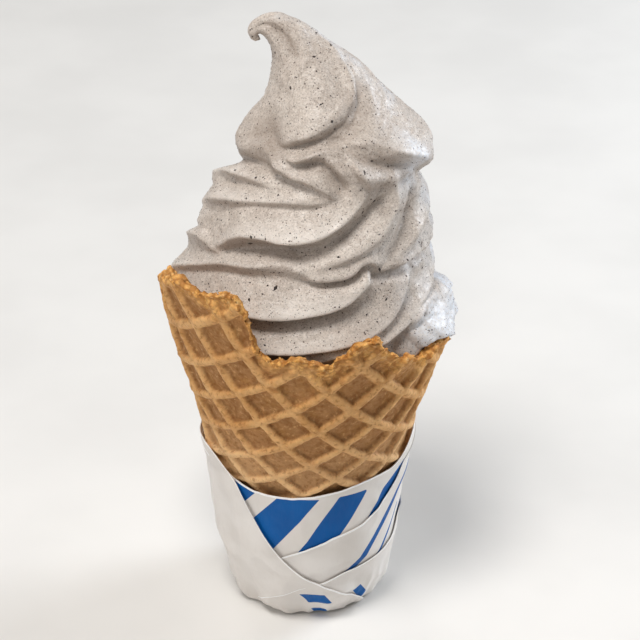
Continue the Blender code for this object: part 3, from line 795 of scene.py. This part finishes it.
def build_swirl(material):
    columns = 368
    stations = section_way()
    ways = np.concatenate(
        [np.linspace(0.0, stations[9], 150)[:-1], np.linspace(stations[9], stations[-1] - 0.01, 106)]
    )
    azimuth = wrap(np.arange(columns) * 360.0 / columns)
    W, A = np.meshgrid(ways, azimuth, indexing="ij")
    base, out, half = swirl_base(W, A)
    z = base[..., 2]

    crests = [
        ridge_field(A, z, c, up, 0.88 * down, 1.25, 1.7, 0.35) for up, down, c in CRESTS
    ]
    grooves = [ridge_field(A, z, c, reach, reach, 1.5, 1.5, 0.5) for reach, c in GROOVES]
    lobe = fade(W, stations[6], stations[8])
    folded = gather(crests) - gather(grooves)
    lift = folded - 1.15 * (1 - lobe) * fade(z, 92, 97)
    rows = W > stations[7]
    spots = base[rows]
    slim = np.minimum(half[rows] / 9.0, 1)
    for reach, control in LOBE_LINES:
        line = densify(control, 6)
        relief = line[:, 2]
        way = np.interp(line[:, 1], np.arange(len(stations)), stations)
        line, _, _ = swirl_base(way, line[:, 0])
        best = np.full(len(spots), 1e9)
        rise = np.zeros(len(spots))
        for k, (p, q) in enumerate(zip(line, line[1:])):
            e = q - p
            t = np.clip(((spots - p) @ e) / max(e @ e, 1e-9), 0, 1)
            d = np.linalg.norm(spots - p - t[:, None] * e, axis=1)
            rise = np.where(d < best, relief[k] + (relief[k + 1] - relief[k]) * t, rise)
            best = np.minimum(best, d)
        width = np.minimum(reach, 0.75 * half[rows])
        d = np.sqrt(best**2 + 0.25) - 0.5
        lift[rows] += rise * slim * np.clip(1 - d / width, 0, 1) ** 1.5
    for place, station, reach, relief in SWELLINGS:
        way = np.interp([station], np.arange(len(stations)), stations)
        spot, _, _ = swirl_base(way, np.array([float(place)]))
        lift += relief * np.minimum(half / 9.0, 1) * bell(np.linalg.norm(base - spot[0], axis=-1) / reach)
    carved = lift - folded
    fill = np.clip(1 - ((z - 93) / 6.5) ** 2 - (wrap(A - 58) / 17) ** 2, 0, 1)
    lift += 3.0 * np.sqrt(fill)
    dome = np.clip(1 - ((z + 0.12 * (A - 75) - 95.0) / 9.2) ** 2 - (wrap(A - 82) / 35) ** 2, 0, 1)
    lift += (SPILL + 0.3) * np.sqrt(dome)
    small = np.minimum(half / 8.0, 1)

    # unevenness, drag lines along the ridges and a torn patch at the left
    drag = np.stack([A * FLAT / 7.0, (z - 0.128 * A) / 0.75, 0 * A], -1)
    lift += small * (
        0.30 * noise(base, 11.0, 61)
        + 0.15 * noise(base, 4.0, 62)
        + 0.10 * noise(drag, 1.0, 63)
        + 0.06 * noise(base, 1.4, 64)
    )
    torn = bell((A + 57) / 15) * bell((z - 127) / 5.5)
    lift += torn * (0.45 * noise(base, 2.4, 65) + 0.25 * noise(base, 1.1, 66) - 0.2)
    icy = fade(A, 35, 65) * fade(150 - A, 0, 40)
    icy = np.maximum(icy, np.maximum(dome, 0.7 * fill))
    lift += icy * (0.22 * noise(base, 2.2, 67) + 0.12 * noise(base, 1.1, 68)) * small
    lift += fade(dome, 0.0, 0.3) * (0.55 * noise(base, 3.2, 77) + 0.42 * noise(base, 1.5, 78))
    # frost and painted cool glint on the icy right side and the spill
    frost_and_glint = np.clip(icy * (0.2 + 0.8 * layered_noise(base, 9.0, 69, 2)) + 0.9 * np.sqrt(dome), 0, 0.95)
    points = base + lift[..., None] * out
    radius = np.hypot(points[..., 0] - cone_x(points[..., 2]), points[..., 1])
    # inside the wafer the soft serve stays within its wall
    inside = points[..., 2] < rim_height(A) + 0.4
    limit = np.where(inside, cone_inner(points[..., 2]) - 0.15, 1e9)
    squeeze = np.minimum(1, limit / radius)
    points[..., 0] = cone_x(points[..., 2]) + (points[..., 0] - cone_x(points[..., 2])) * squeeze
    points[..., 1] *= squeeze

    lower = []
    t = np.radians(azimuth)
    for zz in (14.4, 18.0, 26.0, 36.0, 44.0, 52.0, 60.0, 68.0, 76.0, 82.0, 86.0):
        r = cone_inner(zz) - ICE_GAP
        lower.append(np.stack([cone_x(zz) + r * np.sin(t), -r * np.cos(t), np.full(columns, zz)], -1))
    rows = np.concatenate([np.array(lower), points])
    faces = grid_faces(len(rows), columns, True).tolist()
    flat = rows.reshape(-1, 3)
    cx, cz, _, tilt = SECTIONS[-1]
    end = math.radians(tilt + 90)
    flat = np.concatenate(
        [flat, [[cone_x(ICE_FOOT_Z), 0, ICE_FOOT_Z], [cx + 0.8 * math.cos(end), 0, cz + 0.8 * math.sin(end)]]]
    )
    top = (len(rows) - 1) * columns
    for k in range(columns):
        n = (k + 1) % columns
        faces.append([k, len(flat) - 2, n])
        faces.append([top + k, top + n, len(flat) - 1])
    # painted shade: where the soft serve folds under itself, faces downwards, lies in a groove or sits low at the rim's
    # front, its colour is darkened
    steep = fade(0.30 - grid_normals(points, True)[..., 2], 0, 0.75)
    fold = 0.8 * steep + 0.7 * fade(-folded, -0.5, 2.8) + 0.9 * fade(97.5 - z, 0, 3) * bell((A + 22) / 28)
    fold += 0.55 * lobe * fade(-carved, 0.4, 2.4)
    for place, station, reach, amount in PAINTED_SHADE_SPOTS:
        spot, _, _ = swirl_base(np.interp([station], np.arange(len(stations)), stations), np.array([float(place)]))
        fold += amount * bell(np.linalg.norm(base - spot[0], axis=-1) / reach)
    fold = np.clip(fold, 0, 1)
    for _ in range(3):
        fold[1:-1] = 0.25 * fold[:-2] + 0.5 * fold[1:-1] + 0.25 * fold[2:]
    # painted highlight on the ridge crests
    crest_highlight = fade(folded, 1.2, 4.2) * (1 - 0.5 * lobe) * fade(z, 92, 98)
    crest_highlight = np.concatenate([np.zeros(len(lower) * columns), crest_highlight.ravel(), [0, 0]])
    frost_and_glint = np.concatenate([np.zeros(len(lower) * columns), frost_and_glint.ravel(), [0, 0]])
    # the hidden soft serve inside the wafer gets the full painted shade
    fold = np.concatenate([np.ones(len(lower) * columns), fold.ravel(), [1, 0]])
    made = piece("soft_serve_swirl", flat, faces, material, {"frost_and_glint": frost_and_glint, "fold": fold, "crest_highlight": crest_highlight})
    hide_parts("ice_cream")
    return points


# ---------------------------------------------------------------- specks

OCTA = np.array([(1, 0, 0), (-1, 0, 0), (0, 1, 0), (0, -1, 0), (0, 0, 1), (0, 0, -1)], float)
OCTA_FACES = np.array([(0, 2, 4), (2, 1, 4), (1, 3, 4), (3, 0, 4), (2, 0, 5), (1, 2, 5), (3, 1, 5), (0, 3, 5)])


def scatter_on(points, count, rng):
    """Random places on a grid surface, even by area, with their normals."""
    a, b = points[:-1], points[1:]
    a2, b2 = np.roll(a, -1, 1), np.roll(b, -1, 1)
    area = np.linalg.norm(np.cross(a2 - a, b - a), axis=-1).ravel()
    area[points[:-1, :, 2].ravel() < 88] = 0
    pick = rng.choice(len(area), count, p=area / area.sum())
    u, v = rng.random(count)[:, None], rng.random(count)[:, None]
    corners = [x.reshape(-1, 3)[pick] for x in (a, a2, b, b2)]
    spots = (corners[0] * (1 - u) + corners[1] * u) * (1 - v) + (corners[2] * (1 - u) + corners[3] * u) * v
    normal = np.cross(corners[1] - corners[0], corners[2] - corners[0])
    normal /= np.maximum(np.linalg.norm(normal, axis=1, keepdims=True), 1e-9)
    return spots, normal


def specks(name, spots, normals, sizes, material, rng, flat=0.45, long=1.0):
    turn = rng.normal(size=spots.shape)
    side = np.cross(normals, turn)
    side /= np.linalg.norm(side, axis=1, keepdims=True)
    other = np.cross(normals, side)
    shape = OCTA[None] * rng.uniform(0.75, 1.2, (len(spots), 6, 1))
    longer = rng.uniform(1.0, long, (len(spots), 1))
    s = sizes[:, None]
    points = (
        spots[:, None]
        - 0.10 * (sizes * flat)[:, None, None] * normals[:, None]
        + shape[..., 0:1] * (s * longer)[:, None] * side[:, None]
        + shape[..., 1:2] * s[:, None] * other[:, None]
        + shape[..., 2:3] * (s * flat)[:, None] * normals[:, None]
    )
    faces = (OCTA_FACES[None] + 6 * np.arange(len(spots))[:, None, None]).reshape(-1, 3)
    return piece(name, points.reshape(-1, 3), faces.tolist(), material)


# Azimuth, height and size of the larger flakes that show
FLAKES = [
    (-15, 115.2, 0.62), (-34, 124.2, 0.60), (-29, 128.4, 0.42), (15, 124.2, 0.45), (19, 157.9, 0.38), (52, 175.1, 0.34),
    (-22, 163.5, 0.34), (39, 147.6, 0.40), (30, 146.5, 0.36), (12, 161.3, 0.32), (60, 172.5, 0.32), (-57, 157.2, 0.32),
    (13, 170.9, 0.34), (8, 136.4, 0.30), (-18, 138.6, 0.32), (-43, 131.4, 0.34), (-38, 141.1, 0.36), (39, 109.5, 0.32), (-3, 141.4, 0.32),
]


def build_specks(points, dust, material, flake):
    rng = np.random.default_rng(11)
    count = 12000
    spots, normals = scatter_on(points, count, rng)
    sizes = rng.uniform(0.075, 0.14, count)
    specks("cookie_dust", spots, normals, sizes, dust, rng, 0.5, 1.6)
    count = 5200
    spots, normals = scatter_on(points, count, rng)
    sizes = 0.10 + 0.18 * rng.random(count) ** 2.8
    specks("cookie_specks", spots, normals, sizes, material, rng, 0.5, 1.6)
    count = 30
    spots, normals = scatter_on(points, count, rng)
    sizes = rng.uniform(0.24, 0.40, count)
    # a few of the larger ones at the front
    azimuth = np.degrees(np.arctan2(points[..., 0], -points[..., 1]))
    outward = grid_normals(points, True)
    for place, height, size in FLAKES:
        away = np.hypot(wrap(azimuth - place) * FLAT, points[..., 2] - height)
        row, column = np.unravel_index(np.argmin(away), away.shape)
        spots = np.concatenate([spots, points[row, column][None]])
        normals = np.concatenate([normals, outward[row, column][None]])
        sizes = np.append(sizes, size)
    specks("cookie_flakes", spots, normals, sizes, flake, rng, 0.3, 2.4)


def build_crumbs(azimuth, rim_rows, material):
    """Loose crumbs of wafer on the broken rim."""
    rng = np.random.default_rng(5)
    count = 170
    row = rng.integers(0, len(rim_rows), count)
    column = rng.integers(0, len(azimuth), count)
    spots = rim_rows[row, column]
    normals = np.stack([0 * spots[:, 0], 0 * spots[:, 0], 1 + 0 * spots[:, 0]], -1) + 0.4 * rng.normal(size=spots.shape)
    normals /= np.linalg.norm(normals, axis=1, keepdims=True)
    sizes = rng.uniform(0.35, 0.8, count)
    made = specks("wafer_crumbs", spots, normals, sizes, material, rng, 0.7, 1.2)
    mesh = made.data
    for key, number in (("pocket", 0.0), ("brown", 0.75), ("pale_and_highlight", 0.0)):
        layer = mesh.attributes.new(key, "FLOAT", "POINT")
        layer.data.foreach_set("value", np.full(len(mesh.vertices), number, np.float32))


# ---------------------------------------------------------------- the paper sleeve

# Azimuth and height along the upper edge of each layer of paper, the innermost first
EDGE_PANEL = [(-195, 50.5), (-150, 51.0), (-120, 52), (-90, 52.5), (-66, 51.5), (-52, 49.6), (-47, 48.8), (-40, 48.0), (-33, 47.2), (-25, 46.9), (-14, 46.9), (-3, 47.2), (8, 47.8), (22, 48.7), (29, 49.2), (39, 49.6), (50, 49.6), (56, 49.6), (61, 50.6), (65, 52.5), (72, 55.0), (80, 56.6), (88, 56.8), (98, 55.4), (114, 53.0), (140, 51.2), (165, 50.5)]
EDGE_BAND = [(-60, 4.0), (-45, 12.0), (-30, 20.0), (-16, 25.4), (-4, 28.5), (22, 34.0), (38, 36.0), (52, 39.8), (64, 44.5), (72, 49.0), (80, 53.0), (92, 54.6), (104, 53.4), (120, 51.8), (150, 50.4), (192, 49.6)]
EDGE_LOW = [(-45, 4.0), (-25, 9.0), (-8, 13.2), (8, 16.1), (21, 18.2), (40, 20.0), (59, 21.4), (75, 24.0), (92, 29.5), (112, 37.5), (140, 45.0), (170, 48.2), (196, 48.6)]
EDGE_FLAP = [(-176, 49.8), (-150, 51.0), (-120, 53.0), (-100, 54.0), (-90, 54.3), (-78, 54.9), (-70, 55.2), (-64, 55.1), (-58, 54.1), (-54, 52.9), (-50, 51.5), (-45, 49.1), (-42, 46.9), (-38, 43.4), (-30, 36.2), (-23, 30.8), (-16, 25.7), (-10, 22.3), (-2, 18.9), (8, 15.9), (27, 10.1), (44, 4.6), (54, 1.0)]
FLAT_SLEEVE = 0.48  # millimetres for each degree of azimuth


def signed_polygon(x, y, corners):
    """Distance to the outline, positive inside."""
    p = np.array(corners, float) * (FLAT_SLEEVE, 1.0)
    best = np.full(x.shape, 1e9)
    inside = np.zeros(x.shape, bool)
    for a, b in zip(p, np.roll(p, -1, 0)):
        e = b - a
        t = np.clip(((x - a[0]) * e[0] + (y - a[1]) * e[1]) / (e @ e), 0, 1)
        best = np.minimum(best, np.hypot(x - a[0] - t * e[0], y - a[1] - t * e[1]))
        crosses = (a[1] > y) != (b[1] > y)
        slope = (b[0] - a[0]) / (b[1] - a[1] if abs(b[1] - a[1]) > 1e-9 else 1e-9)
        inside ^= crosses & (x < a[0] + (y - a[1]) * slope)
    return np.where(inside, best, -best)


def signed_stroke(x, y, line, half):
    p = np.array(line, float) * (FLAT_SLEEVE, 1.0)
    best = np.full(x.shape, 1e9)
    for a, b in zip(p, p[1:]):
        e = b - a
        t = np.clip(((x - a[0]) * e[0] + (y - a[1]) * e[1]) / (e @ e), 0, 1)
        best = np.minimum(best, np.hypot(x - a[0] - t * e[0], y - a[1] - t * e[1]))
    return half - best


def sleeve_radius(z):
    heights, radii = zip(*SLEEVE_PROFILE)
    return smooth_through(heights, radii, z)


FOOT_CORNERS = [(-180, 18.2), (-140, 17.4), (-100, 18.6), (-57, 18.6), (-21, 17.0), (33, 17.7), (62, 17.6), (92, 18.6), (130, 17.0), (158, 18.4), (180, 18.2)]


def foot_radius(azimuth):
    """The foot is folded to a blunt many-sided outline."""
    a = wrap(azimuth)
    corners = np.array(FOOT_CORNERS, float)
    k = np.clip(np.searchsorted(corners[:, 0], a, side="right") - 1, 0, len(corners) - 2)
    t0, t1 = np.radians(corners[k, 0]), np.radians(corners[k + 1, 0])
    r0, r1 = corners[k, 1], corners[k + 1, 1]
    t = np.radians(a)
    # a straight fold from one corner to the next
    return r0 * r1 * np.sin(t1 - t0) / (r0 * np.sin(t - t0) + r1 * np.sin(t1 - t))


def crumple(azimuth, z):
    """Soft creases that all layers share, deeper where the paper is folded at the foot."""
    t = np.radians(azimuth)
    around = np.stack([26 * np.sin(t), -26 * np.cos(t), z * 0.8], -1)
    soft = 0.45 * noise(around, 15.0, 71)
    fold = np.abs(noise(around, 9.0, 72))
    foot = 1 - fade(z, 4, 22)
    return soft + 1.1 * (0.3 - fold) + foot * (
        1.1 * noise(around, 8.0, 73) + 1.1 * (0.4 - np.abs(noise(around, 11.0, 74))) + 1.3 * (0.3 - np.abs(noise(around, 6.5, 75)))
    )


def paper_layer(name, edge, layer, material, ink, lift=0.35, step=1.1, thickness=0.22):
    edge = np.array(edge, float)
    azimuth = np.arange(edge[0, 0], edge[-1, 0] + 0.01, step)
    top = smooth_through(edge[:, 0], edge[:, 1], azimuth)
    top = top + 0.12 * noise(np.stack([azimuth, 0 * azimuth, 0 * azimuth], -1), 4.0, 80 + layer)
    rows = 64
    share = np.linspace(0, 1, rows)[:, None]
    low = 0.05
    z = low + (top[None, :] - low) * share
    a = np.broadcast_to(azimuth, z.shape)
    loose = sleeve_radius(z) + crumple(a, z) * (1 - 0.8 * fade(z, 36, 48)) - 0.55
    loose = loose + (foot_radius(a) - 17.6) * (1 - fade(z, 0, 13))
    loose = loose - 1.0 * fade(z, 28, 48) * bell(wrap(a - 15) / 62)
    loose = loose + 1.5 * fade(z, 22, 46) * bell(wrap(a - 86) / 26)
    # the paper lies against the wafer where it comes up round it
    wafer_side = cone_radius(z) + seam_offset(a) + swell(a, z) * above_foot(z) + 0.16
    r = 0.5 * (loose + wafer_side + np.sqrt((loose - wafer_side) ** 2 + 0.09))
    r += layer * (0.3 - 0.18 * fade(z, 40, 50))
    r += lift * np.exp(-(top[None, :] - z) / 2.0) * (1 - 0.7 * fade(z, 44, 50))
    if name == "sleeve_flap":
        r += 0.5 * bell((a + 47) / 7) * fade(z, 40, 52) - 0.4 * bell((a + 72) / 16) * fade(z, 40, 48)
    ends = np.minimum(a - azimuth[0], azimuth[-1] - a)
    r += 0.2 * np.exp(-ends / 4.0)
    t = np.radians(a)

    def at(radius, height):
        return np.stack([SLEEVE_LEAN * height + radius * np.sin(t), -radius * np.cos(t), height], -1)

    outer, inner = at(r, z), at(r - thickness, z)
    colour = np.full(z.shape, -9.0)
    for kind, *data in ink:
        x, y = a * FLAT_SLEEVE, z
        if kind == "area":
            colour = np.maximum(colour, signed_polygon(x, y, data[0]))
        else:
            colour = np.maximum(colour, signed_stroke(x, y, data[0], data[1]))
    count = len(azimuth)
    flat = np.concatenate([outer.reshape(-1, 3), inner.reshape(-1, 3)])
    half = rows * count
    faces = grid_faces(rows, count, False).tolist()
    faces += [f[::-1] for f in grid_faces(rows, count, False, half).tolist()]
    index = np.arange(half).reshape(rows, count)
    border = np.concatenate([index[0, :-1], index[:-1, -1], index[-1, :0:-1], index[:0:-1, 0]])
    for p, q in zip(border, np.roll(border, -1)):
        faces.append([int(q), int(p), int(p) + half, int(q) + half])
    # the printed side only gets ink and the painted highlight along the cut edge; the back of the paper stays white
    below = np.minimum(top[None, :] - z, 9.0)
    values = {"ink": np.concatenate([colour.ravel(), np.full(half, -9.0)]), "cut_edge_highlight": np.concatenate([below.ravel(), np.full(half, 9.0)])}
    return piece(name, flat, faces, material, values, sharp=50)


def build_sleeve(material):
    panel = [
        ("area", [(-64, 50.0), (-45, 49.6), (-28, 48.0), (-37, 43.0), (-55, 34.0), (-80, 36.0)]),
        ("area", [(-16, 46.9), (8, 46.4), (-19, 29.3), (-32, 21.0), (-50, 28.0), (-31, 38.5)]),
        ("area", [(20, 46.4), (39, 46.2), (22, 34.6), (4, 23.0), (-16, 20.5), (-4, 28.9)]),
        ("area", [(74, 49.5), (86, 45.5), (64, 40.1), (42, 34.0), (33, 32.0), (52, 43.3)]),
        ("area", [(108, 49.0), (120, 48.0), (92, 30.0), (82, 30.0)]),
        ("area", [(143, 48.0), (156, 47.5), (128, 30.0), (117, 30.0)]),
    ]
    band = [
        ("line", [(82, 44.0), (65, 35.9), (50, 29.3), (37, 22.6), (24, 16.0)], 1.15),
        ("line", [(76, 31.5), (64, 25.6), (48, 18.0)], 0.55),
        ("area", [(112, 49.0), (122, 48.4), (98, 31.0), (88, 24.0), (80, 24.0)]),
        ("area", [(146, 47.4), (158, 47.0), (130, 26.0), (119, 26.0)]),
        ("area", [(179, 46.4), (190, 46.2), (168, 26.0), (157, 26.0)]),
    ]
    low = [("area", [(35, 8.8), (41, 10.4), (50, 5.3), (45, 3.2)])]
    flap = [
        ("area", [(-6, 11.4), (11, 11.4), (17, 7.4), (0, 7.4)]),
        ("area", [(2, 3.4), (14, 3.2), (17, 1.0), (5, 1.0)]),
    ]
    first = paper_layer("sleeve_panel", EDGE_PANEL, 0, material, panel, 0.1)
    paper_layer("sleeve_band", EDGE_BAND, 1, material, band)
    paper_layer("sleeve_low_band", EDGE_LOW, 2, material, low)
    paper_layer("sleeve_flap", EDGE_FLAP, 3, material, flap)

    # the folded foot
    azimuth = np.arange(0, 360, 3.0)
    rings = []
    t = np.radians(azimuth)
    for share, z in ((1.0, 1.3), (1.0, 0.3), (0.985, 0.05), (0.8, 0.02), (0.5, 0.02), (0.2, 0.02)):
        r = sleeve_radius(np.full(len(t), max(z, 0.02))) + crumple(azimuth, np.full(len(t), z)) - 0.7
        r = share * (r + foot_radius(azimuth) - 17.6)
        rings.append(np.stack([r * np.sin(t), -r * np.cos(t), np.full(len(t), z)], -1))
    for share, z in ((0.2, 0.5), (0.9, 0.6), (0.97, 1.3)):
        r = sleeve_radius(np.full(len(t), 0.5)) + crumple(azimuth, np.full(len(t), 0.5)) - 0.9
        r = share * (r + foot_radius(azimuth) - 17.6)
        rings.append(np.stack([r * np.sin(t), -r * np.cos(t), np.full(len(t), z)], -1))
    rings = np.array(rings)
    count = len(azimuth)
    faces = []
    for k in range(len(rings) - 1):
        for c in range(count):
            n = (c + 1) % count
            if k == 5:
                continue
            faces.append([k * count + c, (k + 1) * count + c, (k + 1) * count + n, k * count + n])
    flat = np.concatenate([rings.reshape(-1, 3), [[0, 0, 0.02], [0, 0, 0.5]]])
    total = len(rings) * count
    for c in range(count):
        n = (c + 1) % count
        faces.append([5 * count + c, total, 5 * count + n])
        faces.append([6 * count + c, 6 * count + n, total + 1])
        faces.append([(len(rings) - 1) * count + c, c, n, (len(rings) - 1) * count + n])
    piece("sleeve_foot", flat, faces, material, {"ink": np.full(len(flat), -9.0), "cut_edge_highlight": np.full(len(flat), 9.0)}, sharp=50)
    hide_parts("paper_sleeve")


# ---------------------------------------------------------------- surroundings


def area_light(name, place, target, size, watts, colour):
    light = bpy.data.lights.new(name, "AREA")
    light.shape = "DISK"
    light.size = size
    light.energy = watts
    light.color = colour
    obj = bpy.data.objects.new(name, light)
    bpy.context.scene.collection.objects.link(obj)
    obj.location = place
    way = [t - p for t, p in zip(target, place)]
    flat = math.hypot(way[0], way[1])
    obj.rotation_euler = (
        math.atan2(flat, -way[2]),
        0.0,
        math.atan2(-way[0], way[1]) if flat > 1e-9 else 0.0,
    )
    return obj


def surroundings():
    mesh = bpy.data.meshes.new("floor")
    mesh.from_pydata([(-4, -4, 0), (4, -4, 0), (4, 4, 0), (-4, 4, 0)], [], [(0, 1, 2, 3)])
    mesh.materials.append(floor_material())
    floor = bpy.data.objects.new("floor", mesh)
    bpy.context.scene.collection.objects.link(floor)

    centre = (0.0, 0.0, 0.10)
    area_light("key", (-0.16, -0.38, 1.05), centre, 0.36, 7.9, (1.0, 0.975, 0.94))
    area_light("fill", (-0.85, -0.50, 0.50), centre, 0.6, 2.3, (1.0, 0.97, 0.94))
    area_light("back", (-0.40, 0.95, 0.70), centre, 0.5, 2.4, (1.0, 0.99, 0.97))
    area_light("window", (0.75, 0.35, 0.38), centre, 0.4, 5.6, (0.85, 0.92, 1.0))

    world = bpy.data.worlds.new("studio")
    bpy.context.scene.world = world
    world.use_nodes = True
    background = world.node_tree.nodes["Background"]
    background.inputs["Color"].default_value = (0.93, 0.94, 0.95, 1.0)
    background.inputs["Strength"].default_value = 0.26

    camera = bpy.data.cameras.new("camera")
    camera.sensor_width = 36.0
    camera.lens = 129.375
    view = bpy.data.objects.new("camera", camera)
    view.location = (0.0033, -0.55426, 0.4083)
    view.rotation_euler = (math.radians(60.0), 0.0, 0.0)
    bpy.context.scene.collection.objects.link(view)
    bpy.context.scene.camera = view
    bpy.context.scene.view_settings.view_transform = "Standard"


wafer = wafer_material()
paper = paper_material()
dust = dust_material()
cookie = speck_material("cookie_specks", srgb(40, 33, 31), srgb(88, 75, 68))
flake = speck_material("cookie_flakes", srgb(34, 27, 25), srgb(70, 58, 52))
rim_columns, rim_rows = build_wafer(wafer)
build_crumbs(rim_columns, rim_rows, wafer)
swirl_points = build_swirl(soft_serve_material())
build_specks(swirl_points, dust, cookie, flake)
build_sleeve(paper)
surroundings()
